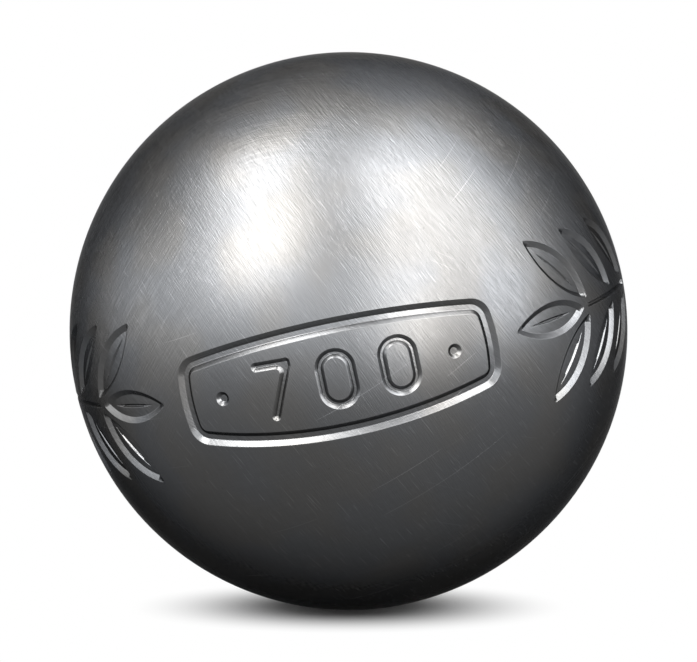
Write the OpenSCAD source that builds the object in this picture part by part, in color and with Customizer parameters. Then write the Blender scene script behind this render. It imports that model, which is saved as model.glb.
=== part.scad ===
// Petanque boule, as it lies on the ground.
// Two forged steel half shells are welded edge to edge, and the ball is then turned, ground and
// satin finished, so the weld is flush outside and stands up in a low ridge inside. The hollow
// is sealed and empty. The front half shell carries the engraved marks on one band around the
// ball: a border of four arcs around the weight in grams, and a laurel sprig on each side of it.
// The origin is the ball's centre, +Z is up and the marks face -Y.

/* [Ball] */
// Outside diameter of the finished ball
ball_d = 74; // [70.5:0.5:80]
// Thickness of the forged wall
wall = 6.15; // [4.5:0.05:9]

/* [Weld] */
// Angle between the two sides of the weld groove
groove_angle = 60; // [45:5:75]
// Height of the square land at the foot of the groove
land_h = 1.6; // [1:0.1:2.5]
// Gap between the two lands, which the weld fills
root_gap = 0.8; // [0.4:0.1:1.4]
// Width of the weld's ridge inside the ball
ridge_w = 3.2; // [2.4:0.1:4.5]
// Height of the weld's ridge inside the ball
ridge_h = 0.7; // [0.3:0.1:1.2]

/* [Band of marks] */
// Angle by which the band climbs to the right
band_roll = 12; // [0:1:45]
// Angle of the border's centre below the ball's equator
band_drop = 3.6; // [0:0.2:20]
// Angle of the border's centre to the left of the ball's middle
band_turn = 2; // [0:1:20]

/* [Border] */
// Length of the border, to the outer edges of its groove
border_l = 40; // [38:0.2:41]
// Height of the border, to the outer edges of its groove
border_h = 14.2; // [13.6:0.2:16]
// Radius of the border's two ends
border_end_r = 24; // [22:1:30]
// Radius of the border's two long sides
border_side_r = 50; // [46:1:52]
// Width of the border's groove at the ball's surface
border_groove_w = 1.8; // [1:0.1:2]
// Width of the floor of the border's groove
border_floor_w = 0.6; // [0.3:0.1:0.9]
// Depth of the border's groove
border_depth = 0.5; // [0.2:0.05:0.8]

/* [Digits] */
// Height of a digit
digit_h = 7.2; // [6.2:0.1:7.4]
// Width of a digit
digit_w = 4.8; // [4.4:0.1:5]
// Radius of a zero's round ends, a little over half its width
digit_end_r = 2.7; // [2.6:0.1:3.2]
// Distance from one digit to the next
digit_pitch = 7.4; // [6.5:0.1:8]
// Width of a stroke
stroke_w = 1.1; // [0.7:0.1:1.3]
// Depth of a stroke
stroke_depth = 0.4; // [0.2:0.05:0.6]
// Distance of the foot of the seven from its right side
seven_foot = 2.6; // [1.5:0.1:3]
// Distance of the two pips from the middle of the border
pip_place = 14.2; // [13:0.1:15]
// Diameter of a pip
pip_d = 1.7; // [1:0.1:2]

/* [Laurel sprigs] */
// Angle around the band from the border's middle to a sprig's middle
sprig_angle = 57.6; // [57:0.2:60]
// Distance from the sprig's middle to the tip of its end leaf
sprig_reach = 14.4; // [13:0.1:14.5]
// Pairs of leaves on a sprig
leaf_pairs = 3; // [2:1:3]
// Length of a leaf
leaf_l = 12.6; // [9:0.1:12.8]
// Width of a leaf at the ball's surface
leaf_w = 4.2; // [3:0.1:4.6]
// Depth of a leaf's floor
leaf_depth = 0.45; // [0.2:0.05:0.6]
// Width of the sloping wall around a leaf's floor
leaf_bevel = 0.65; // [0.3:0.05:0.9]
// Angle between a leaf and the stem
leaf_angle = 47; // [42:1:52]
// Distance along the stem from one pair of leaves to the next
leaf_pitch = 7.5; // [7.2:0.1:7.8]
// Distance from the stem's middle to the foot of a leaf
leaf_gap = 1; // [0.8:0.1:1.4]
// Length of the vein in a leaf's floor
vein_l = 7; // [4:0.1:7.4]
// Width of the vein
vein_w = 0.5; // [0.3:0.05:0.7]
// Depth of the vein below the leaf's floor
vein_depth = 0.2; // [0.1:0.05:0.3]
// Width of the stem's groove at the ball's surface
stem_w = 0.9; // [0.5:0.1:1.1]
// Depth of the stem's groove
stem_depth = 0.35; // [0.2:0.05:0.5]
// Width of the floor of the stem's and the veins' grooves
fine_floor_w = 0.15; // [0.1:0.05:0.25]

/* [Hidden] */
$fn = 180;

// How far a cutting shape runs past the surface that it cuts
overrun = 0.1;
// How far it runs below the floor that it leaves
underrun = 0.1;

ball_r = ball_d / 2;
hollow_r = ball_r - wall;
land_r = hollow_r + land_h;
// Height of the weld groove's side above the seam, just past the ball's surface
groove_rise = root_gap / 2 + (ball_r + overrun - land_r) * tan(groove_angle / 2);
// Radius of the weld's ridge in section
ridge_r = (ridge_w * ridge_w / 4 + ridge_h * ridge_h) / (2 * ridge_h);
// How far the ball falls away from a digit's middle to its corners
digit_sag = ball_r - sqrt(ball_r * ball_r - (digit_h * digit_h + digit_w * digit_w) / 4);
// Radius of each side of a leaf
leaf_side_r = (leaf_l * leaf_l + leaf_w * leaf_w) / (4 * leaf_w);

// Angle that a length takes along the ball's surface
function arc(length) = length / ball_r * 180 / PI;

// Point of a section at a radius, at an angle from the axis that the section turns around
function on_radius(radius, angle) = radius * [sin(angle), cos(angle)];

// Turns the seam's axis and the border's middle from +Z to where they lie on the ball
module as_it_lies() {
    rotate([90 + band_drop, 0, -band_turn])
        rotate([0, 0, band_roll])
            children();
}

// Moves a mark from the top of the ball to a place on the band: x runs along it and y across
module at_place(x, y = 0, heading = 0) {
    rotate([-arc(y), arc(x), 0])
        rotate([0, 0, heading])
            children();
}

// Leaves of a cutting shape only what lies above the round floor of its pocket
module down_to(depth) {
    difference() {
        children();
        sphere(ball_r - depth);
    }
}

// Block around +Z with a round rim at the ball's surface, whose wall draws in by the slope below
module round_block(rim_r, slope, depth) {
    low_r = ball_r - depth - underrun;
    high_r = ball_r + overrun;
    low_angle = arc(rim_r - slope * (depth + underrun));
    high_angle = arc(rim_r + slope * overrun);
    rotate_extrude()
        polygon([
            [0, low_r * cos(low_angle)],
            on_radius(low_r, low_angle),
            on_radius(high_r, high_angle),
            [0, high_r / cos(high_angle)]
        ]);
}

// V groove along X over the top of the ball, between two flat ends
module v_groove(start, end, top_w, floor_w, depth, surface_r = ball_r) {
    tip_depth = depth * top_w / (top_w - floor_w);
    high_angle = arc(top_w / 2 * (tip_depth + overrun) / tip_depth);
    rotate([90, -90, 0])
        rotate([0, 0, -arc(end)])
            rotate_extrude(angle = arc(end - start))
                polygon([
                    on_radius(surface_r - tip_depth, 90),
                    on_radius(surface_r + overrun, 90 + high_angle),
                    on_radius(surface_r + overrun, 90 - high_angle)
                ]);
}

// Block inside the border's four arcs, set in from the border's outer edges
module border_block(inset, slope) {
    intersection() {
        intersection_for(side = [-1, 1])
            at_place(side * (border_l / 2 - border_end_r))
                round_block(border_end_r - inset, slope, border_depth);
        intersection_for(side = [-1, 1])
            at_place(0, side * (border_h / 2 - border_side_r))
                round_block(border_side_r - inset, slope, border_depth);
    }
}

module border() {
    slope = (border_groove_w - border_floor_w) / (2 * border_depth);
    down_to(border_depth)
        difference() {
            border_block(0, slope);
            border_block(border_groove_w, -slope);
        }
}

// Cuts a flat outline straight down, to the depth of a stroke
module stamped() {
    below = stroke_depth + digit_sag + underrun;
    down_to(stroke_depth)
        translate([0, 0, ball_r - below])
            linear_extrude(height = below + overrun)
                children();
}

// Upright outline with straight sides and round ends
module zero_outline(height, width, end_r) {
    end_y = height / 2 - end_r;
    intersection() {
        square([width, height + 2 * overrun], center = true);
        union() {
            square([width + 2 * overrun, 2 * end_y], center = true);
            for (side = [-1, 1])
                translate([0, side * end_y])
                    circle(end_r);
        }
    }
}

module digit_zero() {
    stamped()
        difference() {
            zero_outline(digit_h, digit_w, digit_end_r);
            zero_outline(digit_h - 2 * stroke_w, digit_w - 2 * stroke_w, digit_end_r - stroke_w);
        }
}

module digit_seven() {
    top_y = digit_h / 2;
    bar_y = top_y - stroke_w;
    right_x = digit_w / 2;
    leg_h = digit_h - stroke_w;
    leg_w = stroke_w * norm([leg_h, seven_foot]) / leg_h;
    stamped()
        polygon([
            [-right_x, top_y],
            [right_x, top_y],
            [right_x, bar_y],
            [right_x - seven_foot, -top_y],
            [right_x - seven_foot - leg_w, -top_y],
            [right_x - leg_w, bar_y],
            [-right_x, bar_y]
        ]);
}

module pip() {
    stamped()
        circle(d = pip_d);
}

module weight_mark() {
    at_place(-digit_pitch)
        digit_seven();
    for (x = [0, digit_pitch])
        at_place(x)
            digit_zero();
    for (side = [-1, 1])
        at_place(side * pip_place)
            pip();
}

// Pocket of a leaf along X, pointed at both ends
module leaf_pocket() {
    down_to(leaf_depth)
        intersection_for(side = [-1, 1])
            at_place(0, side * (leaf_side_r - leaf_w / 2))
                round_block(leaf_side_r, leaf_bevel / leaf_depth, leaf_depth);
}

module leaf_vein() {
    down_to(leaf_depth + vein_depth)
        v_groove(-vein_l / 2, vein_l / 2, vein_w, fine_floor_w, vein_depth, ball_r - leaf_depth);
}

module leaf() {
    leaf_pocket();
    leaf_vein();
}

// Sprig along X, whose end leaf points towards -X
module sprig() {
    end_leaf_x = -sprig_reach + leaf_l / 2;
    first_pair_x = -sprig_reach + leaf_l + leaf_gap;
    leaf_along = leaf_l / 2 * cos(leaf_angle);
    leaf_across = leaf_gap + leaf_l / 2 * sin(leaf_angle);
    stem_l = (leaf_pairs - 1) * leaf_pitch + leaf_gap;
    at_place(end_leaf_x)
        leaf();
    down_to(stem_depth)
        at_place(first_pair_x)
            v_groove(0, stem_l, stem_w, fine_floor_w, stem_depth);
    for (pair = [0 : leaf_pairs - 1])
        for (side = [-1, 1])
            at_place(
                first_pair_x + pair * leaf_pitch - leaf_along,
                side * leaf_across,
                -side * leaf_angle
            )
                leaf();
}

// Half of the hollow ball, above the seam, with its side of the weld groove
module half_shell() {
    intersection() {
        difference() {
            sphere(ball_r);
            sphere(hollow_r);
        }
        rotate_extrude()
            polygon([
                [0, root_gap / 2],
                [land_r, root_gap / 2],
                [ball_r + overrun, groove_rise],
                [ball_r + overrun, ball_r + overrun],
                [0, ball_r + overrun]
            ]);
    }
}

module front_half_shell() {
    color("gray")
        as_it_lies()
            difference() {
                half_shell();
                border();
                weight_mark();
                for (half_turn = [0, 180])
                    rotate([0, 0, half_turn])
                        rotate([0, sprig_angle, 0])
                            sprig();
            }
}

module rear_half_shell() {
    color("dimgray")
        as_it_lies()
            rotate([180, 0, 0])
                half_shell();
}

// Filler between the two shells, flush with the ball outside, with a low round ridge inside
module weld_bead() {
    ridge_foot_r = hollow_r - ridge_h / 2;
    color("silver")
        as_it_lies() {
            intersection() {
                sphere(ball_r);
                rotate_extrude()
                    polygon([
                        [ridge_foot_r, -root_gap / 2],
                        [land_r, -root_gap / 2],
                        [ball_r + overrun, -groove_rise],
                        [ball_r + overrun, groove_rise],
                        [land_r, root_gap / 2],
                        [ridge_foot_r, root_gap / 2]
                    ]);
            }
            intersection() {
                sphere(hollow_r);
                rotate_extrude()
                    translate([hollow_r - ridge_h + ridge_r, 0])
                        circle(ridge_r);
            }
        }
}

front_half_shell();
rear_half_shell();
weld_bead();
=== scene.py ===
"""Petanque boule: the looks of its two half shells and its weld, with floor, lamps and camera.

The ball is one hollow steel sphere of two half shells, welded edge to edge and satin finished.
The front half carries a slanted band of engraved marks: a border of four arcs around the weight
in grams, and a laurel sprig on each side of it. Everything is in metres, with the ball's centre
at the origin, +Z up and the marks facing -Y.
"""

import math

import bpy
import numpy as np
from bpy.props import FloatProperty, FloatVectorProperty, IntProperty, PointerProperty
from mathutils import Matrix, Vector, kdtree
from mathutils.geometry import delaunay_2d_cdt


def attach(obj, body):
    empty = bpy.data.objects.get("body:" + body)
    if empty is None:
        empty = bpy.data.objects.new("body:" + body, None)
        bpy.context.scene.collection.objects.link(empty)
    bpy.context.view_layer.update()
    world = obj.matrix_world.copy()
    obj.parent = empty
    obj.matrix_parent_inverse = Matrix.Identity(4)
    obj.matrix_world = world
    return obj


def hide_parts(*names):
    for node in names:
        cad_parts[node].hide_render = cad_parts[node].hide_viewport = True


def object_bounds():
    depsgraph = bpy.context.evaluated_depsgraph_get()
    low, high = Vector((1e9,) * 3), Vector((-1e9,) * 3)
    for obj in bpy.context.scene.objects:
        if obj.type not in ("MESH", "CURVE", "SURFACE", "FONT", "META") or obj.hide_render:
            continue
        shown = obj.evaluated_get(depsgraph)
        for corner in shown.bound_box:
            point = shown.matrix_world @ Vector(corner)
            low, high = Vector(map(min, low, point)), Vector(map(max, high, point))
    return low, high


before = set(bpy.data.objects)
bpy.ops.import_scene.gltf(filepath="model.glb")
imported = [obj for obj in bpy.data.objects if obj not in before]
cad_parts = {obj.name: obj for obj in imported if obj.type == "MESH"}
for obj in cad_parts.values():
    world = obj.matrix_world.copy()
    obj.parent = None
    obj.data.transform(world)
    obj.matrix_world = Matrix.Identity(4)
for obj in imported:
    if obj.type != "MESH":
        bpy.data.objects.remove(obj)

bl_info = {
    "name": "Petanque Boule",
    "version": (1, 0, 0),
    "blender": (4, 5, 0),
    "location": "View3D > Sidebar > Boule",
    "description": "Builds a satin steel petanque boule with engraved marks, and a studio for it",
    "category": "Add Mesh",
}

CAD_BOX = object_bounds()
BODY = "root"
MM = 0.001
# The finished ball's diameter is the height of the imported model's box, to a tenth of a millimetre
BALL_DIAMETER = round(CAD_BOX[1].z - CAD_BOX[0].z, 4)


# Properties

def length(name, description, millimetres):
    """A length that a user may change."""
    return FloatProperty(
        name=name, description=description, default=millimetres * MM, unit="LENGTH", precision=5
    )


def angle(name, description, degrees):
    """An angle that a user may change."""
    return FloatProperty(
        name=name, description=description, default=math.radians(degrees), unit="ROTATION"
    )


def share(name, description, value):
    """A number between 0 and 1 that a user may change."""
    return FloatProperty(
        name=name, description=description, default=value, min=0.0, max=1.0, subtype="FACTOR"
    )


def amount(name, description, value):
    """A number from 0 up, where 1 is the plain amount, that a user may change."""
    return FloatProperty(name=name, description=description, default=value, min=0.0)


def colour(name, description, red, green, blue):
    """A colour that a user may change."""
    return FloatVectorProperty(
        name=name, description=description, default=(red, green, blue), subtype="COLOR",
        min=0.0, max=1.0,
    )


class BouleShape(bpy.types.PropertyGroup):
    """Sizes of the ball, its wall and its weld."""

    diameter: length("Diameter", "Outside diameter of the finished ball", BALL_DIAMETER / MM)
    wall: length("Wall", "Thickness of the forged wall", 6.15)
    groove_angle: angle("Groove angle", "Angle between the two sides of the weld groove", 60)
    land: length("Land", "Height of the square land at the foot of the groove", 1.6)
    root_gap: length("Root gap", "Gap between the two lands, which the weld fills", 0.8)
    ridge_width: length("Ridge width", "Width of the weld's ridge inside the ball", 3.2)
    ridge_height: length("Ridge height", "Height of the weld's ridge inside the ball", 0.7)
    facet: length("Facet", "Distance between points on the plain surface", 1.1)
    fine_facet: length("Fine facet", "Distance between points along the edge of a mark", 0.25)
    seam_facets: IntProperty(
        name="Seam facets", description="Number of points around the seam", default=360, min=12
    )


class BouleBand(bpy.types.PropertyGroup):
    """The slanted band that the marks lie on, and the marks in its middle."""

    roll: angle("Roll", "Angle by which the band climbs to the right", 12)
    drop: angle("Drop", "Angle of the border's centre below the equator", 3.6)
    turn: angle("Turn", "Angle of the border's centre to the left of the middle", 2)
    border_length: length("Border length", "Length to the outer edges of the groove", 40)
    border_height: length("Border height", "Height to the outer edges of the groove", 14.2)
    end_radius: length("End radius", "Radius of the border's two ends", 24)
    side_radius: length("Side radius", "Radius of the border's two long sides", 50)
    corner_radius: length("Corner radius", "Rounding of the border's four corners", 2.6)
    groove_width: length("Groove width", "Width of the border's groove at the surface", 1.8)
    groove_floor: length("Groove floor", "Width of the floor of the border's groove", 0.6)
    groove_depth: length("Groove depth", "Depth of the border's groove", 0.5)
    digit_height: length("Digit height", "Height of a digit", 7.2)
    digit_width: length("Digit width", "Width of a digit", 4.8)
    digit_pitch: length("Digit pitch", "Distance from one digit to the next", 7.4)
    stroke_width: length("Stroke width", "Width of a stroke", 1.1)
    stroke_depth: length("Stroke depth", "Depth of a stroke", 0.4)
    stroke_wall: length("Stroke wall", "Width of a stroke's sloping wall", 0.42)
    seven_foot: length("Foot of the seven", "Distance of its foot from its right side", 2.6)
    pip_place: length("Pip place", "Distance of the two pips from the middle", 14.2)
    pip_diameter: length("Pip diameter", "Diameter of a pip", 1.7)
    lip: length("Lip", "Rounding of the upper edge of every mark", 0.14)
    foot: length("Foot", "Rounding where a wall meets its floor", 0.16)


class BouleSprig(bpy.types.PropertyGroup):
    """A laurel sprig, pressed into the ball on each side of the border."""

    place: angle("Place", "Angle around the band from the border to a sprig's middle", 57.6)
    reach: length("Reach", "Distance from the sprig's middle to the tip of its end leaf", 14.4)
    pairs: IntProperty(name="Pairs", description="Pairs of leaves", default=3, min=1, max=3)
    leaf_length: length("Leaf length", "Length of a leaf", 12.6)
    leaf_width: length("Leaf width", "Width of a leaf at the surface", 4.2)
    leaf_depth: length("Leaf depth", "Depth of a leaf's floor", 0.45)
    leaf_bevel: length("Leaf bevel", "Width of the sloping wall around a leaf's floor", 0.65)
    leaf_tip: length("Leaf tip", "Rounding of a leaf's tips at the surface", 0.3)
    leaf_angle: angle("Leaf angle", "Angle between a leaf and the stem", 47)
    leaf_pitch: length("Leaf pitch", "Distance along the stem between pairs", 7.5)
    leaf_gap: length("Leaf gap", "Distance from the stem's middle to the foot of a leaf", 1)
    vein_length: length("Vein length", "Length of the vein in a leaf's floor", 7)
    vein_width: length("Vein width", "Width of the vein", 0.5)
    vein_depth: length("Vein depth", "Depth of the vein below the leaf's floor", 0.2)
    stem_width: length("Stem width", "Width of the stem's groove", 0.9)
    stem_depth: length("Stem depth", "Depth of the stem's groove", 0.35)
    fine_wall: length("Fine wall", "Width of the sloping wall of the stem and the veins", 0.18)
    fine_lip: length("Fine lip", "Rounding of the edges of the stem and the veins", 0.08)


class BouleFinish(bpy.types.PropertyGroup):
    """The satin finish of the steel."""

    steel: colour("Steel", "Colour of the satin steel", 0.0832, 0.0855, 0.0893)
    warm_steel: colour("Warm steel", "Colour of the steel's warmer patches", 0.086, 0.0855, 0.085)
    edge: colour("Edge tint", "Tint of the steel where it is seen at a low angle", 0.065, 0.065, 0.07)
    cut_tone: amount("Tone of the marks", "Brightness of the marks next to the ball's surface", 1.12)
    weld_tone: amount("Tone of the weld", "Brightness of the weld next to the shells", 1.03)
    rough: share("Roughness", "Roughness of the satin steel", 0.33)
    cut_rough: share("Roughness of the marks", "Roughness of the milled floors and walls", 0.3)
    hair_width: length("Hairline width", "Width of the finest sanding lines", 0.125)
    hair_length: length("Hairline length", "Length of the finest sanding lines", 2.3)
    hair_depth: length("Hairline depth", "Height of the bumps of the sanding lines", 0.0085)
    line_shade: share("Line shade", "How much the sanding lines vary the colour", 0.11)
    line_gloss: share("Line gloss", "How much the sanding lines vary the roughness", 0.04)
    mill_shade: share("Mill shade", "How much the milling lines vary the colour", 1.0)
    mill_height: amount("Mill height", "Height of the milling lines next to the hairlines", 2.4)
    cloud_shade: share("Cloud shade", "How much the colour varies from place to place", 0.16)
    cloud_rough: share("Cloud roughness", "How much rougher the steel gets in some places", 0.06)
    # Scratches are real marks in the bump, but the brightening of their colour is a painted glint,
    # standing in for the light that their sloping sides catch
    scratch_painted_glint: share("Scratch shade", "How much brighter a scratch is", 0.8)
    scratch_depth: amount("Scratch depth", "Depth of a scratch next to the hairlines", 0.5)
    speck_shade: share("Speck shade", "How much darker a speck is", 0.2)
    speck_depth: amount("Speck depth", "Depth of a speck next to the hairlines", 1.0)


class BouleStudio(bpy.types.PropertyGroup):
    """Camera, lamps and background."""

    lens: FloatProperty(name="Lens", description="Focal length", default=100, unit="CAMERA")
    elevation: angle("Elevation", "Angle of the camera above the horizon", 5)
    distance: length("Distance", "Distance from the camera to the ball's centre", 259.4)
    lamp_distance: length("Lamp distance", "Distance from the lamps to the ball's centre", 900)
    floor_radius: length("Floor radius", "Radius of the floor", 6000)
    floor_colour: colour("Floor", "Colour of the floor", 0.7, 0.7, 0.7)
    floor_shade: share("Floor shade", "How much the floor's colour varies", 0.01)
    background: amount("Background", "Brightness of the white all round", 1.0)
    # The fade and the shadow's shift and stretch paint the edge of the ball's shadow: the ball casts
    # the shadow's darkness, but the camera sees it cut off along an ellipse that these set, wider
    # than deep and moved to the front
    fade_start: length("Fade start", "Where the floor starts to fade into the background", 8)
    fade_end: length("Fade end", "Where the floor has faded into the background", 30)
    mirror_start: length("Mirror start", "Where the floor starts to turn white in the steel", 60)
    mirror_end: length("Mirror end", "Where the floor is all white in the steel", 300)
    shadow_shift: length("Shadow shift", "Distance of the shadow's middle to the front", 2)
    shadow_stretch: amount("Shadow stretch", "How much wider than deep the shadow is", 1.9)


# Greatest turn from one point of an arc to the next
FINE_TURN = math.radians(12)
# Points that fill a surface keep off the ones before them by this share of their spacing
FILL_CLEARANCE = 0.62
# Area that each of these points fills, as a share of the square of their spacing
FILL_AREA = 0.9
# Points of the skin that are nearer than this on its chart, in millimetres, are one point
SAME_POINT = 1e-7
# Radius of a corner as a share of half the width, so that a short straight side is left
ALMOST_ROUND = 0.98
ALMOST_ROUND_STROKE = 0.96
ALMOST_ROUND_STEM = 0.95
# Width of the thin end of a sprig's stem, as a share of its width
STEM_TAPER = 0.6
# Faces that meet at a greater angle have a sharp edge between them
SHARP_EDGE = math.radians(42)
# Depth from which a mark has its full milled finish
FULL_CUT = 0.08 * MM


# Directions on the ball, as unit vectors in the frame of a mark whose middle is at +Z

def unit(vectors):
    """The vectors at length 1."""
    return vectors / np.linalg.norm(vectors, axis=-1, keepdims=True)


def turn(axis, angle_about):
    """Rotation about the axis X, Y or Z."""
    return np.array(Matrix.Rotation(angle_about, 3, axis))


def as_it_lies(band):
    """Rotation that brings the border's middle from +Z to where it is on the ball."""
    return turn("Z", -band.turn) @ turn("X", math.pi / 2 + band.drop) @ turn("Z", band.roll)


def place(ball_r, x, y=0.0, heading=0.0):
    """Rotation that moves a mark from +Z along the ball: x along the band and y across it."""
    return turn("Y", x / ball_r) @ turn("X", -y / ball_r) @ turn("Z", heading)


def on_ball(ball_r, flat):
    """Directions of flat points, with each distance laid along the ball."""
    across, along = flat[:, 0] / ball_r, flat[:, 1] / ball_r
    return np.stack(
        [np.sin(across) * np.cos(along), np.sin(along), np.cos(across) * np.cos(along)], axis=1
    )


def towards(start, goal, reach):
    """Direction that lies at an angle from start, on the way to goal."""
    side = unit(goal - start * (start @ goal))
    return math.cos(reach) * start + math.sin(reach) * side


def crossing(first, second):
    """Where the rims of two round caps cross, on the way to the left around their common area."""
    (centre, reach), (next_centre, next_reach) = first, second
    both = centre @ next_centre
    spare = 1 - both * both
    along = (math.cos(reach) - both * math.cos(next_reach)) / spare
    next_along = (math.cos(next_reach) - both * math.cos(reach)) / spare
    middle = along * centre + next_along * next_centre
    rise = 1 - middle @ middle
    if rise < 0:
        raise ValueError("two sides of a mark don't meet: its sizes don't fit each other")
    normal = np.cross(centre, next_centre)
    return middle + math.sqrt(rise / spare) * normal


def arc_between(centre, start, end, step):
    """Directions on the arc from start up to just before end, to the left around centre."""
    reach = math.atan2(np.linalg.norm(np.cross(centre, start)), centre @ start)
    forward = unit(start - centre * (centre @ start))
    sideways = np.cross(centre, forward)
    sweep = math.atan2(end @ sideways, end @ forward) % math.tau
    count = max(math.ceil(sweep / FINE_TURN), round(sweep * math.sin(reach) / step))
    angles = (sweep * np.arange(count) / count)[:, None]
    return math.cos(reach) * centre + math.sin(reach) * (
        np.cos(angles) * forward + np.sin(angles) * sideways
    )


class CapOutline:
    """Outline of the area that lies inside several round caps, with rounded corners.

    Each cap is a direction and an angular reach, in order to the left around the area.
    """

    def __init__(self, ball_r, caps, corner_radius, step):
        self.ball_r = ball_r
        self.caps = caps
        self.corner_radius = corner_radius
        self.step = step / ball_r

    def at(self, inset):
        """Directions of the outline drawn in by a length, and at each the way into the area."""
        inset_angle = inset / self.ball_r
        corner_inset = max(inset, self.corner_radius) / self.ball_r
        inner_caps = [(centre, reach - corner_inset) for centre, reach in self.caps]
        corners = [
            crossing(cap, inner_caps[(index + 1) % len(inner_caps)])
            for index, cap in enumerate(inner_caps)
        ]
        directions, inward = [], []
        for index, (centre, reach) in enumerate(self.caps):
            corner, next_centre = corners[index], self.caps[(index + 1) % len(self.caps)][0]
            next_reach = self.caps[(index + 1) % len(self.caps)][1]
            start = towards(centre, corners[index - 1], reach - inset_angle)
            end = towards(centre, corner, reach - inset_angle)
            self.add_arc(directions, inward, centre, start, end)
            if corner_inset > inset_angle:
                onward = towards(next_centre, corner, next_reach - inset_angle)
                self.add_arc(directions, inward, corner, end, onward)
        return np.concatenate(directions), np.concatenate(inward)

    def add_arc(self, directions, inward, centre, start, end):
        """Adds the points of one arc of the outline, with the way to its centre."""
        points = arc_between(centre, start, end, self.step)
        directions.append(points)
        inward.append(unit(centre - points * (points @ centre)[:, None]))


class FlatOutline:
    """Outline with straight sides and rounded corners, drawn flat and laid onto the ball."""

    def __init__(self, ball_r, corners, corner_radius, step):
        self.ball_r = ball_r
        self.corners = [np.array(corner, float) for corner in corners]
        self.corner_radius = corner_radius
        self.step = step

    def at(self, inset):
        """Directions of the outline drawn in by a length, and at each the way into the area."""
        points, inward = [], []
        for index, corner in enumerate(self.corners):
            following = self.corners[(index + 1) % len(self.corners)]
            arc, arc_inward = self.round_corner(
                self.corners[index - 1], corner, following, inset
            )
            if points:
                self.add_side(points, inward, arc[0])
            points.extend(arc)
            inward.extend(arc_inward)
        self.add_side(points, inward, points[0])
        flat, flat_inward = np.array(points), np.array(inward)
        directions = on_ball(self.ball_r, flat)
        small = self.step / 10
        ahead = on_ball(self.ball_r, flat + small * flat_inward)
        return directions, unit(ahead - directions * np.sum(ahead * directions, 1)[:, None])

    def round_corner(self, before, corner, after, inset):
        """Points of the arc at a corner, and at each the way into the area."""
        arriving, leaving = unit(corner - before), unit(after - corner)
        first = np.array([-arriving[1], arriving[0]])
        last = np.array([-leaving[1], leaving[0]])
        bend = math.atan2(
            arriving[0] * leaving[1] - arriving[1] * leaving[0], arriving @ leaving
        )
        side = math.copysign(1, bend)
        centre = corner + side * self.corner_radius * (first + last) / (1 + first @ last)
        radius = self.corner_radius - side * inset
        count = max(math.ceil(abs(bend) / FINE_TURN), round(abs(bend) * radius / self.step)) + 1
        angles = bend * np.linspace(0, 1, count) + math.atan2(first[1], first[0])
        normals = np.stack([np.cos(angles), np.sin(angles)], axis=1)
        return list(centre - side * radius * normals), list(normals)

    def add_side(self, points, inward, end):
        """Adds points along the straight side from the last point up to just before end."""
        start, normal = points[-1], inward[-1]
        count = max(1, round(np.linalg.norm(end - start) / self.step))
        for number in range(1, count):
            points.append(start + (end - start) * number / count)
            inward.append(normal)


class Turned:
    """An outline at another place on the ball."""

    def __init__(self, outline, rotation):
        self.outline = outline
        self.rotation = rotation

    def at(self, inset):
        """Directions of the outline drawn in by a length, and at each the way into the area."""
        directions, inward = self.outline.at(inset)
        return directions @ self.rotation.T, inward @ self.rotation.T


def wall_rows(depth, width, lip, foot, steps=3):
    """Rows down a sloping wall with rounded edges: distance in, depth and tilt of each."""
    slope = math.atan2(depth, width)
    lip_start = -lip * math.tan(slope / 2)
    foot_end = width + foot * math.tan(slope / 2)
    tilts = [slope * number / steps for number in range(steps + 1)]
    rows = [(lip_start + lip * math.sin(t), lip * (1 - math.cos(t)), t) for t in tilts]
    rows += [
        (foot_end - foot * math.sin(t), depth - foot * (1 - math.cos(t)), t)
        for t in reversed(tilts)
    ]
    return rows


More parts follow.
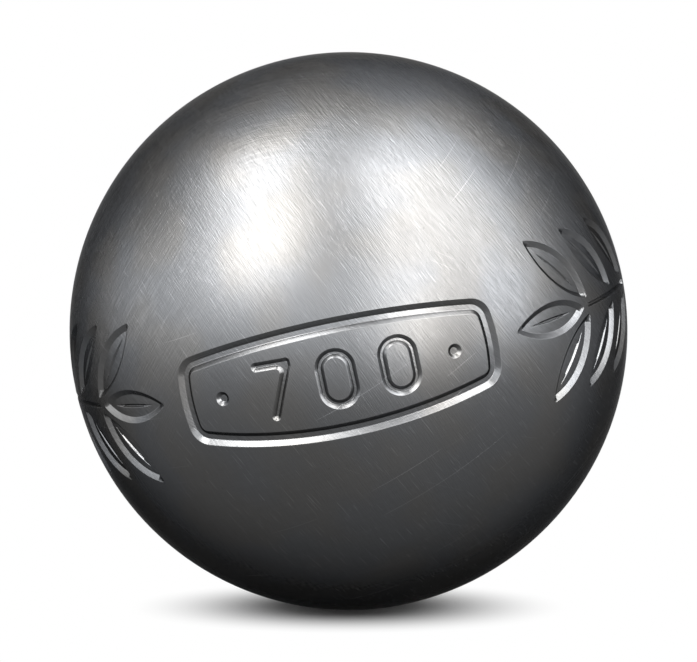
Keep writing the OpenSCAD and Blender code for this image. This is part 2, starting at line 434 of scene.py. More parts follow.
class Skin:
    """Points of the outer face of a half shell, with the edges that its triangles must keep."""

    def __init__(self, ball_r):
        self.ball_r = ball_r
        self.directions = []
        self.depths = []
        self.normals = []
        self.edges = []
        self.floors = []

    def add_ring(self, directions, facing, depth, tilt):
        """Adds a closed row of points, whose surface faces outward but tilted to one side."""
        first, count = len(self.directions), len(directions)
        self.directions.extend(directions)
        self.depths.extend([depth] * count)
        self.normals.extend(directions * math.cos(tilt) + facing * math.sin(tilt))
        self.edges.extend((first + i, first + (i + 1) % count) for i in range(count))

    def add_wall(self, outline, rows, side=1, start=0.0, above=0.0):
        """Sinks a wall that slopes into an outline, or out of it where side is -1.

        Start is how far inside the outline its upper edge is, and above is how deep.
        """
        for inset, depth, tilt in rows:
            directions, inward = outline.at(start + side * inset)
            self.add_ring(directions, side * inward, above + depth, tilt)

    def add_floor(self, caps, depth):
        """Says how deep the surface is inside all of these caps, away from their walls."""
        self.floors.append((caps, depth))

    def fill(self, spacing, lowest):
        """Spreads points evenly over the rest of the surface above a height."""
        tree = kdtree.KDTree(len(self.directions))
        for index, direction in enumerate(self.directions):
            tree.insert(Vector(direction), index)
        tree.balance()
        clear = FILL_CLEARANCE * spacing / self.ball_r
        sphere_points = 4 * math.pi * (self.ball_r / spacing) ** 2 / FILL_AREA
        golden_turn = math.pi * (3 - math.sqrt(5))
        for number in range(int(sphere_points / 2)):
            height = 1 - (2 * number + 1) / sphere_points
            if height < lowest:
                break
            level = math.sqrt(1 - height * height)
            around = golden_turn * number
            direction = np.array([level * math.cos(around), level * math.sin(around), height])
            if tree.find(Vector(direction))[2] > clear:
                self.directions.append(direction)
                self.depths.append(self.floor_depth(direction))
                self.normals.append(direction)

    def floor_depth(self, direction):
        """Depth of the floor below a direction, or 0 on the ball's own surface."""
        for caps, depth in self.floors:
            if all(direction @ centre > math.cos(reach) for centre, reach in caps):
                return depth
        return 0.0

    def triangles(self):
        """Triangles that join all the points and keep all the edges.

        They are found on a flat chart that keeps angles, seen from the ball's far side.
        """
        directions = np.array(self.directions)
        chart = 2 * self.ball_r / MM * directions[:, :2] / (1 + directions[:, 2:])
        points, faces, whole_hull = [Vector(point) for point in chart], [], 0
        made = delaunay_2d_cdt(points, self.edges, faces, whole_hull, SAME_POINT, True)
        source = [originals[0] for originals in made[3]]
        return [[source[corner] for corner in face] for face in made[2]]


# Marks of the front half shell

def sink_border(skin, shape, band):
    """Sinks the border's groove between an outer and an inner outline."""
    ball_r = skin.ball_r
    end_x = (band.border_length / 2 - band.end_radius) / ball_r
    side_y = (band.border_height / 2 - band.side_radius) / ball_r
    caps = [
        (turn("Y", end_x) @ (0, 0, 1), band.end_radius / ball_r),
        (turn("X", -side_y) @ (0, 0, 1), band.side_radius / ball_r),
        (turn("Y", -end_x) @ (0, 0, 1), band.end_radius / ball_r),
        (turn("X", side_y) @ (0, 0, 1), band.side_radius / ball_r),
    ]
    outline = CapOutline(ball_r, caps, band.corner_radius, shape.fine_facet)
    wall = (band.groove_width - band.groove_floor) / 2
    rows = wall_rows(band.groove_depth, wall, band.lip, band.foot)
    skin.add_wall(outline, rows)
    skin.add_wall(outline, rows, -1, band.groove_width)


def stroke_rows(band):
    """Rows down the sloping wall of a digit's stroke."""
    return wall_rows(band.stroke_depth, band.stroke_wall, band.lip / 2, band.foot / 2)


def box_corners(width, height):
    """Corners of an upright box around the origin, to the left around it."""
    x, y = width / 2, height / 2
    return [(x, y), (-x, y), (-x, -y), (x, -y)]


def sink_zero(skin, shape, band, x):
    """Sinks a zero, whose stroke runs around an island."""
    rotation = place(skin.ball_r, x)
    for inset, side in ((0, 1), (band.stroke_width, -1)):
        width, height = band.digit_width - 2 * inset, band.digit_height - 2 * inset
        outline = FlatOutline(
            skin.ball_r, box_corners(width, height), ALMOST_ROUND * width / 2, shape.fine_facet
        )
        skin.add_wall(Turned(outline, rotation), stroke_rows(band), side)


def sink_seven(skin, shape, band, x):
    """Sinks a seven of two straight strokes with round ends."""
    top, right = band.digit_height / 2, band.digit_width / 2
    bar = top - band.stroke_width
    leg = band.digit_height - band.stroke_width
    leg_width = band.stroke_width * math.hypot(leg, band.seven_foot) / leg
    foot_x = right - band.seven_foot
    corners = [
        (right, top), (-right, top), (-right, bar), (right - leg_width, bar),
        (foot_x - leg_width, -top), (foot_x, -top), (right, bar),
    ]
    end_radius = ALMOST_ROUND_STROKE * band.stroke_width / 2
    outline = FlatOutline(skin.ball_r, corners, end_radius, shape.fine_facet)
    skin.add_wall(Turned(outline, place(skin.ball_r, x)), stroke_rows(band))


def sink_pip(skin, shape, band, x):
    """Sinks a round pip."""
    outline = FlatOutline(
        skin.ball_r, box_corners(band.pip_diameter, band.pip_diameter),
        ALMOST_ROUND * band.pip_diameter / 2, shape.fine_facet,
    )
    skin.add_wall(Turned(outline, place(skin.ball_r, x)), stroke_rows(band))


def lens_caps(ball_r, long, wide, rotation):
    """The two caps whose common area is a lens, pointed at both ends of X."""
    radius = (long * long + wide * wide) / (4 * wide)
    offset = (radius - wide / 2) / ball_r
    return [
        (rotation @ turn("X", side * offset) @ (0, 0, 1), radius / ball_r) for side in (1, -1)
    ]


def sink_leaf(skin, shape, band, sprig, rotation):
    """Sinks a pointed leaf with bevelled walls, and its vein."""
    caps = lens_caps(skin.ball_r, sprig.leaf_length, sprig.leaf_width, rotation)
    outline = CapOutline(skin.ball_r, caps, sprig.leaf_tip, shape.fine_facet)
    skin.add_wall(outline, wall_rows(sprig.leaf_depth, sprig.leaf_bevel, band.lip, band.foot))
    skin.add_floor(caps, sprig.leaf_depth)
    vein = CapOutline(
        skin.ball_r, lens_caps(skin.ball_r, sprig.vein_length, sprig.vein_width, rotation),
        0.0, shape.fine_facet,
    )
    rows = wall_rows(sprig.vein_depth, sprig.fine_wall, sprig.fine_lip, sprig.fine_lip / 2)
    skin.add_wall(vein, rows, above=sprig.leaf_depth)


def sink_stem(skin, shape, sprig, rotation, start, end):
    """Sinks the stem, a groove that tapers towards the end leaf."""
    wide = sprig.stem_width / 2
    thin = STEM_TAPER * wide
    corners = [(end, -wide), (end, wide), (start, thin), (start, -thin)]
    outline = FlatOutline(skin.ball_r, corners, ALMOST_ROUND_STEM * thin, shape.fine_facet)
    rows = wall_rows(sprig.stem_depth, sprig.fine_wall, sprig.fine_lip, sprig.fine_lip / 2)
    skin.add_wall(Turned(outline, rotation), rows)


def sink_sprig(skin, shape, band, sprig, rotation):
    """Sinks a sprig along X, whose end leaf points towards -X."""
    ball_r = skin.ball_r
    end_leaf_x = sprig.leaf_length / 2 - sprig.reach
    first_pair_x = sprig.leaf_length + sprig.leaf_gap - sprig.reach
    stem_end_x = first_pair_x + (sprig.pairs - 1) * sprig.leaf_pitch + sprig.leaf_gap
    half_leaf = sprig.leaf_length / 2
    sink_leaf(skin, shape, band, sprig, rotation @ place(ball_r, end_leaf_x))
    sink_stem(skin, shape, sprig, rotation, first_pair_x, stem_end_x)
    for pair in range(sprig.pairs):
        for side in (-1, 1):
            x = first_pair_x + pair * sprig.leaf_pitch - half_leaf * math.cos(sprig.leaf_angle)
            y = side * (sprig.leaf_gap + half_leaf * math.sin(sprig.leaf_angle))
            leaf_place = place(ball_r, x, y, -side * sprig.leaf_angle)
            sink_leaf(skin, shape, band, sprig, rotation @ leaf_place)


def sink_marks(skin, shape, band, sprig):
    """Sinks all the marks of the front half shell."""
    sink_border(skin, shape, band)
    sink_seven(skin, shape, band, -band.digit_pitch)
    sink_zero(skin, shape, band, 0)
    sink_zero(skin, shape, band, band.digit_pitch)
    for side in (-1, 1):
        sink_pip(skin, shape, band, side * band.pip_place)
    for half_turn in (0, math.pi):
        sink_sprig(skin, shape, band, sprig, turn("Z", half_turn) @ turn("Y", sprig.place))


# Sections of the weld groove, as radius and height above the seam

def groove_section(shape):
    """Radius and height of the groove's upper edge on the ball, of its foot and of its land."""
    ball_r = shape.diameter / 2
    hollow_r = ball_r - shape.wall
    land_r = hollow_r + shape.land
    half_gap = shape.root_gap / 2
    lean = math.tan(shape.groove_angle / 2)
    # The groove's side is the line height = half_gap + lean * (radius - land_r)
    fall = half_gap - lean * land_r
    square = 1 + lean * lean
    rim_r = (-lean * fall + math.sqrt(square * ball_r ** 2 - fall ** 2)) / square
    rim = (rim_r, math.sqrt(ball_r ** 2 - rim_r ** 2))
    return rim, (land_r, half_gap), (math.sqrt(hollow_r ** 2 - half_gap ** 2), half_gap)


def shell_section(shape):
    """Section of a half shell from the rim of its outer face to the middle of its inside."""
    rim, foot, land = groove_section(shape)
    hollow_r = shape.diameter / 2 - shape.wall
    first = math.asin(land[1] / hollow_r)
    steps = 24
    inside = [
        (hollow_r * math.cos(angle_up), hollow_r * math.sin(angle_up))
        for angle_up in np.linspace(first, math.pi / 2, steps, endpoint=False)
    ]
    return [rim, foot] + inside


def weld_section(shape):
    """Closed section of the weld bead: the outer face first, then the lower half, then the upper."""
    rim, foot, land = groove_section(shape)
    ball_r = shape.diameter / 2
    hollow_r = ball_r - shape.wall
    outer_steps, ridge_steps = 8, 10
    rim_angle = math.asin(rim[1] / ball_r)
    outer = [
        (ball_r * math.cos(angle_up), ball_r * math.sin(angle_up))
        for angle_up in np.linspace(rim_angle, -rim_angle, outer_steps + 1)
    ]
    half_width, height = shape.ridge_width / 2, shape.ridge_height
    ridge_r = (half_width ** 2 + height ** 2) / (2 * height)
    ridge_angle = math.asin(half_width / ridge_r)
    ridge = [
        (hollow_r - height + ridge_r * (1 - math.cos(angle_up)), ridge_r * math.sin(angle_up))
        for angle_up in np.linspace(-ridge_angle, ridge_angle, ridge_steps + 1)
    ]
    lower = [(foot[0], -foot[1]), (land[0], -land[1])]
    upper = [land, foot]
    return outer, lower + ridge + upper


def ring_points(radius, height, count):
    """Points around a ring."""
    around = math.tau * np.arange(count) / count
    return np.stack(
        [radius * np.cos(around), radius * np.sin(around), np.full(count, height)], axis=1
    )


def ring_faces(upper, lower, count):
    """Faces between two rings, whose first points have the numbers upper and lower."""
    following = [(number + 1) % count for number in range(count)]
    return [
        (upper + following[number], upper + number, lower + number, lower + following[number])
        for number in range(count)
    ]


# Pieces

def make_piece(name, points, faces, normals, shown_faces, depths, material):
    """Makes a mesh object, whose shown faces are shaded by the normals given at their points."""
    mesh = bpy.data.meshes.new(name)
    mesh.from_pydata(points, [], faces)
    mesh.shade_smooth()
    mesh.set_sharp_from_angle(angle=SHARP_EDGE)
    corner_normals = np.zeros((len(mesh.loops), 3))
    shown_corners = sum(len(face) for face in faces[:shown_faces])
    corners = np.zeros(len(mesh.loops), dtype=int)
    mesh.loops.foreach_get("vertex_index", corners)
    corner_normals[:shown_corners] = normals[corners[:shown_corners]]
    mesh.normals_split_custom_set(corner_normals)
    cut = mesh.attributes.new("cut", "FLOAT", "POINT")
    cut.data.foreach_set("value", np.clip(depths / FULL_CUT, 0, 1).astype(np.float32))
    mesh.materials.append(material)
    mesh.validate()
    piece = bpy.data.objects.new(name, mesh)
    bpy.context.scene.collection.objects.link(piece)
    return piece


def place_piece(piece, node):
    """Puts a finished piece in the place of its node."""
    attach(piece, BODY)
    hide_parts(node)


def make_half_shell(name, shape, skin, rotation, material):
    """Makes a half shell from its outer face, closed by the weld groove and the hollow."""
    count = shape.seam_facets
    section = shell_section(shape)
    (rim_r, rim_height), below = section[0], section[1:]
    seam = ring_points(rim_r, rim_height, count) / skin.ball_r
    first_seam = len(skin.directions)
    skin.add_ring(seam, seam, 0.0, 0.0)
    skin.fill(shape.facet, (rim_height + 0.5 * shape.facet) / skin.ball_r)
    faces = skin.triangles()
    shown_faces = len(faces)
    directions = np.array(skin.directions)
    depths = np.array(skin.depths)
    outer = directions * (skin.ball_r - depths)[:, None]
    rings = [ring_points(radius, height, count) for radius, height in below]
    hollow_r = skin.ball_r - shape.wall
    points = np.concatenate([outer] + rings + [np.array([[0, 0, hollow_r]])])
    upper = first_seam
    for number in range(len(rings)):
        lower = len(outer) + number * count
        faces += ring_faces(upper, lower, count)
        upper = lower
    pole = len(points) - 1
    faces += [(upper + (i + 1) % count, upper + i, pole) for i in range(count)]
    inner_count = len(points) - len(outer)
    normals = np.concatenate([np.array(skin.normals), np.zeros((inner_count, 3))])
    depths = np.concatenate([depths, np.zeros(inner_count)])
    return make_piece(
        name, points @ rotation.T, faces, normals @ rotation.T, shown_faces, depths, material
    )


def make_weld_bead(name, shape, rotation, material):
    """Makes the weld bead as one closed ring, flush with the ball outside."""
    count = shape.seam_facets
    outer, inner = weld_section(shape)
    section = outer + inner
    points = np.concatenate([ring_points(radius, height, count) for radius, height in section])
    faces = []
    for number in range(len(section)):
        following = (number + 1) % len(section)
        faces += ring_faces(number * count, following * count, count)
    shown_faces = (len(outer) - 1) * count
    return make_piece(
        name, points @ rotation.T, faces, unit(points) @ rotation.T, shown_faces,
        np.zeros(len(points)), material,
    )


# Shader nodes

def new_material(name):
    """An empty node material, and its node tree."""
    material = bpy.data.materials.new(name)
    material.use_nodes = True
    material.node_tree.nodes.clear()
    return material, material.node_tree


def add_node(tree, kind, options=None, inputs=None):
    """Adds a shader node, sets its options, and links or fills its inputs."""
    made = tree.nodes.new("ShaderNode" + kind)
    for option, value in (options or {}).items():
        setattr(made, option, value)
    for socket, value in (inputs or {}).items():
        if isinstance(value, bpy.types.NodeSocket):
            tree.links.new(value, made.inputs[socket])
        else:
            made.inputs[socket].default_value = value
    return made


def maths(tree, operation, *values):
    """The result of one sum on two or three numbers."""
    return add_node(tree, "Math", {"operation": operation}, dict(enumerate(values))).outputs[0]


def ease(tree, value, low, high, to_low=0.0, to_high=1.0):
    """A value's place between low and high, eased at both ends."""
    return add_node(
        tree, "MapRange", {"interpolation_type": "SMOOTHSTEP"},
        {"Value": value, "From Min": low, "From Max": high, "To Min": to_low, "To Max": to_high},
    ).outputs["Result"]


def noise(tree, position, detail=2.0):
    """Soft random values around 0.5, with features about one unit wide."""
    return add_node(
        tree, "TexNoise", None, {"Vector": position, "Scale": 1.0, "Detail": detail}
    ).outputs["Fac"]


def mixed(tree, factor, first, second):
    """A number between two others."""
    return add_node(
        tree, "Mix", {"data_type": "FLOAT"}, {"Factor": factor, 2: first, 3: second}
    ).outputs[0]


def in_sizes(tree, position, tilt, sizes):
    """Position in a frame tilted by degrees, counted in feature sizes along its three axes."""
    rotation = [math.radians(degrees) for degrees in tilt]
    return add_node(
        tree, "Mapping", {"vector_type": "TEXTURE"},
        {"Vector": position, "Rotation": rotation, "Scale": sizes},
    ).outputs["Vector"]


# Grains: the tilt of their frame in degrees, the sizes of their features in millimetres along
# its axes, and their detail
CLOUD = ((20, 35, 0), (14, 14, 22), 3.0)
WARM_PATCHES = ((60, 10, 40), (9, 9, 9), 1.0)
MILLING = ((10, -55, 0), (0.12, 1.4, 1.4), 3.0)
SPECKS = ((0, 0, 0), (0.35, 0.35, 0.35), 0.0)
FLOOR_GRAIN = ((0, 0, 0), (30, 30, 30), 2.0)
# Values of the noise between which the steel goes over from cool to warm
WARM_EDGE = (0.37, 0.63)
# Values of the noise between which a sanding line's side rises
LINE_SIDE = (0.36, 0.64)
# Value of the noise from which there is a speck
SPECK_RARITY = 0.86
# How far above its rarity the noise is at the end of a speck's or a scratch's edge
RARE_EDGE = 0.03


def grain(tree, position, tilt, sizes, detail):
    """Noise with features of some sizes in millimetres, in a frame tilted by degrees."""
    lengths = [size * MM for size in sizes]
    return noise(tree, in_sizes(tree, position, tilt, lengths), detail)


def rare(tree, value, rarity):
    """1 where a noise is above a rarity, and 0 elsewhere."""
    return ease(tree, value, rarity, rarity + RARE_EDGE)


def around_one(tree, value, spread):
    """A noise as a factor around 1."""
    return maths(tree, "MULTIPLY_ADD", value, spread, 1 - spread / 2)


class Patch:
    """A part of the ball around a direction.

    Its edge is reach millimetres along that direction, and soft millimetres to either side.
    """

    def __init__(self, facing, reach, soft):
        self.facing = Vector(facing).normalized()
        self.reach = reach * MM
        self.soft = soft * MM

    def cover(self, tree, position):
        """1 on the patch, fading to 0 around it."""
        along = add_node(
            tree, "VectorMath", {"operation": "DOT_PRODUCT"}, {0: position, 1: self.facing}
        ).outputs["Value"]
        return ease(tree, along, self.reach - self.soft, self.reach + self.soft)


class LineSet:
    """Lines that a turning ball gets: circles around the X axis of a tilted frame.

    Width and length are shares of the finest line's.
    """

    def __init__(self, tilt, width, long, weight, patch=None):
        self.tilt = tilt
        self.width = width
        self.long = long
        self.weight = weight
        self.patch = patch


class ScratchSet:
    """A few scratches, along circles around the X axis of a tilted frame.

    Width and length are in millimetres. Rarity is the value of the noise where one starts.
    """

    def __init__(self, tilt, width, long, rarity, weight):
        self.tilt = tilt
        self.width = width * MM
        self.long = long * MM
        self.rarity = rarity
        self.weight = weight


UPPER_FRONT = Patch((0, -0.35, 0.94), 16, 12)
UPPER_BACK = Patch((0, 0.85, 0.5), 16, 12)
TOP = Patch((0.05, -0.3, 0.95), 31, 4)
TOP_LEFT = Patch((-0.1, -0.3, 0.95), 31, 5)
LEFT_SHOULDER = Patch((-0.42, -0.42, 0.8), 34, 3)
LEFT_SIDE = Patch((-0.85, -0.5, 0.15), 31, 5)
RIGHT_SIDE = Patch((0.75, -0.45, 0.5), 27, 7)
UNDERSIDE = Patch((0.2, -0.6, -0.8), 22, 12)

SANDING = (
    LineSet((0, -35, 0), 1.0, 1.0, 0.5),
    LineSet((0, -36, 2), 0.9, 1.3, 0.55, UPPER_FRONT),
    LineSet((0, -42, 5), 0.9, 1.3, 0.45, UPPER_FRONT),
    LineSet((0, -28, -7), 1.3, 1.3, 0.3, UPPER_FRONT),
    LineSet((0, -40, 3), 0.8, 1.5, 1.7, TOP),
    LineSet((0, 30, 20), 1.0, 1.3, 0.6, UPPER_BACK),
    LineSet((0, 32, -12), 0.9, 1.3, 1.35, LEFT_SIDE),
    LineSet((0, 8, 78), 1.2, 2.4, 0.9, TOP_LEFT),
    LineSet((0, -32, -109), 0.38, 1.8, 0.5, LEFT_SHOULDER),
    LineSet((0, -42, 10), 0.9, 1.4, 1.1, RIGHT_SIDE),
    LineSet((40, 70, 0), 1.3, 2.0, 0.25, UNDERSIDE),
)
SCRATCHES = (
    ScratchSet((0, 52, 35), 0.12, 20, 0.83, 1.0),
    ScratchSet((0, -62, -30), 0.12, 9, 0.84, 0.4),
    ScratchSet((0, -39, 0), 0.1, 2.8, 0.75, 0.5),
)
# Distances from the ball's centre, along a set's axis, at which its scratches fade and end
SCRATCH_FADE = 23 * MM
SCRATCH_END = 28 * MM


def line_height(tree, position, finish, line_set):
    """How far one set of lines rises above or sinks below the surface, from -0.5 to 0.5."""
    width = line_set.width * finish.hair_width
    long = line_set.long * finish.hair_length
    place_in_set = in_sizes(tree, position, line_set.tilt, (width, long, long))
    height = ease(tree, noise(tree, place_in_set, 1.0), *LINE_SIDE, -0.5, 0.5)
    if line_set.patch is None:
        return height
    return maths(tree, "MULTIPLY", height, line_set.patch.cover(tree, position))


def sanding_lines(tree, position, finish):
    """All the sanding lines together, around 0."""
    total = 0.0
    for line_set in SANDING:
        height = line_height(tree, position, finish, line_set)
        total = maths(tree, "MULTIPLY_ADD", height, line_set.weight, total)
    return total


def scratches(tree, position):
    """All the scratches together, above 0 in each scratch and 0 elsewhere."""
    total = 0.0
    for scratch_set in SCRATCHES:
        width, long = scratch_set.width, scratch_set.long
        place_in_set = in_sizes(tree, position, scratch_set.tilt, (width, long, long))
        found = rare(tree, noise(tree, place_in_set, 0.0), scratch_set.rarity)
        across = add_node(tree, "SeparateXYZ", None, {"Vector": place_in_set}).outputs["X"]
        away = maths(tree, "ABSOLUTE", across)
        clear_of_end = ease(tree, away, SCRATCH_END / width, SCRATCH_FADE / width)
        found = maths(tree, "MULTIPLY", found, clear_of_end)
        total = maths(tree, "MULTIPLY_ADD", found, scratch_set.weight, total)
    return total


def satin_steel(name, finish, tone=1.0):
    """Satin steel with sanding lines on the ball's surface and milling lines in its marks."""
    material, tree = new_material(name)
    position = add_node(tree, "TexCoord").outputs["Object"]
    cut = add_node(tree, "Attribute", {"attribute_name": "cut"}).outputs["Fac"]
    lines = sanding_lines(tree, position, finish)
    scratched = scratches(tree, position)
    specks = rare(tree, grain(tree, position, *SPECKS), SPECK_RARITY)
    cloud = grain(tree, position, *CLOUD)
    milled = maths(tree, "SUBTRACT", grain(tree, position, *MILLING), 0.5)
    warm = ease(tree, grain(tree, position, *WARM_PATCHES), *WARM_EDGE)

    line_shade = maths(tree, "MULTIPLY_ADD", lines, finish.line_shade, 1.0)
    mill_shade = maths(tree, "MULTIPLY_ADD", milled, finish.mill_shade, finish.cut_tone)
    shade = mixed(tree, cut, line_shade, mill_shade)
    shade = maths(tree, "MULTIPLY", shade, around_one(tree, cloud, finish.cloud_shade))
    # Painted glint: the colour is brightened along each scratch, in place of the light that its
    # sloping sides would catch
    shade = maths(tree, "MULTIPLY_ADD", scratched, finish.scratch_painted_glint, shade)
    shade = maths(tree, "MULTIPLY_ADD", specks, -finish.speck_shade, shade)
    tint = add_node(
        tree, "Mix", {"data_type": "VECTOR"},
        {"Factor": warm, 4: finish.steel, 5: finish.warm_steel},
    ).outputs[1]
    colour_node = add_node(
        tree, "VectorMath", {"operation": "SCALE"},
        {0: tint, "Scale": maths(tree, "MULTIPLY", shade, tone)},
    ).outputs["Vector"]

    rough_lines = maths(tree, "MULTIPLY_ADD", lines, -finish.line_gloss, finish.rough)
    rough_plain = maths(tree, "MULTIPLY_ADD", cloud, finish.cloud_rough, rough_lines)
    rough = mixed(tree, cut, rough_plain, finish.cut_rough)

    plain_height = maths(tree, "MULTIPLY", lines, maths(tree, "SUBTRACT", 1.0, cut))
    mill_height = maths(tree, "MULTIPLY", milled, cut)
    height = maths(tree, "MULTIPLY_ADD", mill_height, finish.mill_height, plain_height)
    height = maths(tree, "MULTIPLY_ADD", scratched, -finish.scratch_depth, height)
    height = maths(tree, "MULTIPLY_ADD", specks, -finish.speck_depth, height)
    bump = add_node(
        tree, "Bump", None, {"Height": height, "Strength": 1.0, "Distance": finish.hair_depth}
    ).outputs["Normal"]
    steel = add_node(
        tree, "BsdfPrincipled", None,
        {
            "Base Color": colour_node, "Metallic": 1.0, "Roughness": rough,
            "Specular Tint": (*finish.edge, 1.0), "Normal": bump,
        },
    )
    add_node(tree, "OutputMaterial", None, {"Surface": steel.outputs["BSDF"]})
    return material


# Studio

def away_from_ball(tree, position, shift=0.0, stretch=1.0):
    """Distance from a spot in front of the ball's foot, with its depth stretched."""
    stretched = add_node(
        tree, "VectorMath", {"operation": "MULTIPLY_ADD"},
        {0: position, 1: (1.0, stretch, 1.0), 2: (0.0, shift * stretch, 0.0)},
    ).outputs["Vector"]
    return add_node(tree, "VectorMath", {"operation": "LENGTH"}, {0: stretched}).outputs["Value"]


def floor_material(studio):
    """Pale floor, which keeps the ball's shadow and goes over into the white background.

    The camera sees it go over along an ellipse in front of the ball's foot, which paints the edge
    and shape of the ball's cast shadow. Metal and glass show its own tone near the ball, and the
    white background further off.
    """
    material, tree = new_material("pale_floor")
    position = add_node(tree, "TexCoord").outputs["Object"]
    path = add_node(tree, "LightPath").outputs
    mirrored = maths(tree, "MAXIMUM", path["Is Glossy Ray"], path["Is Transmission Ray"])
    # Painted shadow edge: the camera's white is taken away inside an ellipse in front of the ball's
    # foot, so the floor's darker own tone and the cast shadow show only there
    near = away_from_ball(tree, position, studio.shadow_shift, studio.shadow_stretch)
    white_past_painted_shadow_edge = ease(tree, near, studio.fade_start, studio.fade_end)
    away = away_from_ball(tree, position)
    far_white = ease(tree, away, studio.mirror_start, studio.mirror_end)
    seen_white = maths(tree, "MULTIPLY", path["Is Camera Ray"], white_past_painted_shadow_edge)
    white = maths(tree, "MULTIPLY_ADD", mirrored, far_white, seen_white)
    tone = around_one(tree, grain(tree, position, *FLOOR_GRAIN), studio.floor_shade)
    colour_node = add_node(
        tree, "VectorMath", {"operation": "SCALE"}, {0: studio.floor_colour, "Scale": tone}
    ).outputs["Vector"]
    matt = add_node(tree, "BsdfDiffuse", None, {"Color": colour_node}).outputs["BSDF"]
    glow = add_node(tree, "Emission", None, {"Strength": studio.background}).outputs["Emission"]
    both = add_node(tree, "MixShader", None, {0: white, 1: matt, 2: glow}).outputs["Shader"]
    add_node(tree, "OutputMaterial", None, {"Surface": both})
    material.cycles.emission_sampling = "NONE"
    return material


def make_floor(studio, ball_r):
    """Makes the floor, a wide round sheet that the ball lies on."""
    facets = 96
    points = ring_points(studio.floor_radius, 0.0, facets)
    mesh = bpy.data.meshes.new("floor")
    mesh.from_pydata(points, [], [list(range(facets))])
    mesh.materials.append(floor_material(studio))
    floor = bpy.data.objects.new("floor", mesh)
    floor.location.z = -ball_r
    bpy.context.scene.collection.objects.link(floor)


def make_background(studio):
    """White all round, which lights everything at a plain level."""
    world = bpy.data.worlds.new("studio")
    bpy.context.scene.world = world
    world.use_nodes = True
    tree = world.node_tree
    tree.nodes.clear()
    backdrop = add_node(
        tree, "Background", None, {"Color": (1, 1, 1, 1), "Strength": studio.background}
    )
    add_node(tree, "OutputWorld", None, {"Surface": backdrop.outputs[0]})


class SoftBox:
    """A lamp: how far to the right of the front and how high it stands, its size and brightness.

    The places and sizes are angles in degrees, as seen from the ball.
    """

    def __init__(self, name, right, up, wide, high, bright, tint=(1.0, 1.0, 1.0)):
        self.name = name
        self.direction = turn("Z", math.radians(right)) @ turn("X", math.radians(-up)) @ (0, -1, 0)
        self.wide = math.radians(wide)
        self.high = math.radians(high)
        self.bright = bright
        self.tint = tint


WARM_WHITE = (1.0, 0.972, 0.935)
SOFT_WHITE = (1.0, 0.98, 0.95)
COOL_WHITE = (0.98, 0.99, 1.0)
# Only the steel shows these lamps, so the floor stays at the plain level of the background
SOFT_BOXES = (
    SoftBox("left_box", -41, 38, 26.5, 34, 13.8, WARM_WHITE),
    SoftBox("left_top_box", -71.5, 61.5, 21.5, 24, 16.5, SOFT_WHITE),
    SoftBox("right_strip_box", 26, 28.5, 19, 87, 12.3, WARM_WHITE),
    SoftBox("right_side_box", 64.2, 44.5, 30, 82, 8.3),
    SoftBox("back_box", 165, 54, 50, 40, 1.1, COOL_WHITE),
    SoftBox("front_box", -40, 17.5, 143, 45, 2.5, COOL_WHITE),
)
# A square metre of area lamp shows a brightness of 1 at this power in watts
WATTS_PER_SQUARE_METRE = 4.0


def make_lamp(box, distance):
    """Makes an area lamp that faces the ball and that the camera doesn't see."""
    lamp = bpy.data.lights.new(box.name, "AREA")
    lamp.shape = "RECTANGLE"
    lamp.size = 2 * distance * math.tan(box.wide / 2)
    lamp.size_y = 2 * distance * math.tan(box.high / 2)
    lamp.energy = box.bright * lamp.size * lamp.size_y * WATTS_PER_SQUARE_METRE
    lamp.color = box.tint
    holder = bpy.data.objects.new(box.name, lamp)
    direction = Vector(box.direction)
    holder.location = direction * distance
    holder.rotation_mode = "QUATERNION"
    holder.rotation_quaternion = direction.to_track_quat("Z", "Y")
    holder.visible_camera = False
    holder.visible_diffuse = False
    bpy.context.scene.collection.objects.link(holder)


def make_camera(studio):
    """Makes the camera, which looks at the ball's centre from the front."""
    camera = bpy.data.cameras.new("camera")
    camera.lens = studio.lens
    camera.clip_start = 0.01
    camera.clip_end = 100
    holder = bpy.data.objects.new("camera", camera)
    back = Vector((0, -math.cos(studio.elevation), math.sin(studio.elevation)))
    holder.location = back * studio.distance
    holder.rotation_euler = back.to_track_quat("Z", "Y").to_euler()
    bpy.context.scene.collection.objects.link(holder)
    bpy.context.scene.camera = holder


# Operators

class BOULE_OT_front_half_shell(bpy.types.Operator):
    """Make the front half shell, with its engraved marks"""

    bl_idname = "boule.front_half_shell"
    bl_label = "Front Half Shell"

    def execute(self, context):
        shape, band = context.scene.boule_shape, context.scene.boule_band
        skin = Skin(shape.diameter / 2)
        sink_marks(skin, shape, band, context.scene.boule_sprig)
        material = satin_steel("satin_steel_front", context.scene.boule_finish)
        shell = make_half_shell("front_shell", shape, skin, as_it_lies(band), material)
        place_piece(shell, "front_half_shell")
        return {"FINISHED"}


class BOULE_OT_rear_half_shell(bpy.types.Operator):
    """Make the plain rear half shell"""

    bl_idname = "boule.rear_half_shell"
    bl_label = "Rear Half Shell"

    def execute(self, context):
        shape, band = context.scene.boule_shape, context.scene.boule_band
        skin = Skin(shape.diameter / 2)
        material = satin_steel("satin_steel_rear", context.scene.boule_finish)
        half_turn = as_it_lies(band) @ turn("X", math.pi)
        shell = make_half_shell("rear_shell", shape, skin, half_turn, material)
        place_piece(shell, "rear_half_shell")
        return {"FINISHED"}


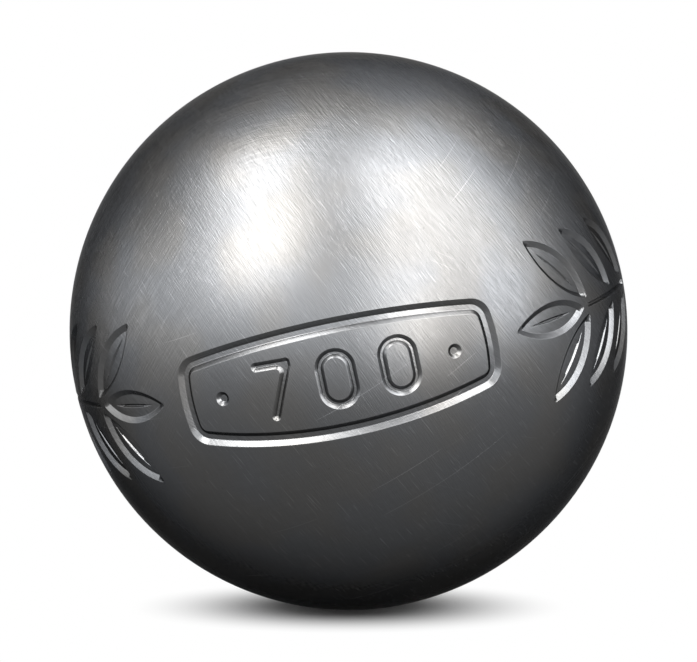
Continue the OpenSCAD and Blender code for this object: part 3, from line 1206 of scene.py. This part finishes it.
class BOULE_OT_weld_bead(bpy.types.Operator):
    """Make the weld bead between the two half shells"""

    bl_idname = "boule.weld_bead"
    bl_label = "Weld Bead"

    def execute(self, context):
        shape, band = context.scene.boule_shape, context.scene.boule_band
        finish = context.scene.boule_finish
        material = satin_steel("satin_steel_weld", finish, finish.weld_tone)
        bead = make_weld_bead("weld", shape, as_it_lies(band), material)
        place_piece(bead, "weld_bead")
        return {"FINISHED"}


class BOULE_OT_stage(bpy.types.Operator):
    """Make the floor, the background, the lamps and the camera"""

    bl_idname = "boule.stage"
    bl_label = "Studio"

    def execute(self, context):
        studio = context.scene.boule_studio
        make_floor(studio, context.scene.boule_shape.diameter / 2)
        make_background(studio)
        for box in SOFT_BOXES:
            make_lamp(box, studio.lamp_distance)
        make_camera(studio)
        context.scene.view_settings.view_transform = "Standard"
        return {"FINISHED"}


class BOULE_PT_panel(bpy.types.Panel):
    """The boule's operators and properties, in the sidebar"""

    bl_idname = "BOULE_PT_panel"
    bl_label = "Petanque Boule"
    bl_space_type = "VIEW_3D"
    bl_region_type = "UI"
    bl_category = "Boule"

    def draw(self, context):
        layout = self.layout
        for operator in OPERATORS:
            layout.operator(operator.bl_idname)
        for group in GROUPS:
            settings = getattr(context.scene, group)
            box = layout.box()
            for name in settings.bl_rna.properties.keys():
                if name not in ("rna_type", "name"):
                    box.prop(settings, name)


GROUPS = {
    "boule_shape": BouleShape,
    "boule_band": BouleBand,
    "boule_sprig": BouleSprig,
    "boule_finish": BouleFinish,
    "boule_studio": BouleStudio,
}
OPERATORS = (
    BOULE_OT_front_half_shell,
    BOULE_OT_rear_half_shell,
    BOULE_OT_weld_bead,
    BOULE_OT_stage,
)


def register():
    """Registers the classes and puts the properties on the scene."""
    for made in (*GROUPS.values(), *OPERATORS, BOULE_PT_panel):
        bpy.utils.register_class(made)
    for name, group in GROUPS.items():
        setattr(bpy.types.Scene, name, PointerProperty(type=group))


def unregister():
    """Takes the properties off the scene and removes the classes."""
    for name in GROUPS:
        delattr(bpy.types.Scene, name)
    for made in reversed((*GROUPS.values(), *OPERATORS, BOULE_PT_panel)):
        bpy.utils.unregister_class(made)


def main():
    """Builds the boule and its studio."""
    register()
    bpy.ops.boule.front_half_shell()
    bpy.ops.boule.rear_half_shell()
    bpy.ops.boule.weld_bead()
    bpy.ops.boule.stage()
    bpy.context.view_layer.update()


if __name__ == "__main__":
    main()
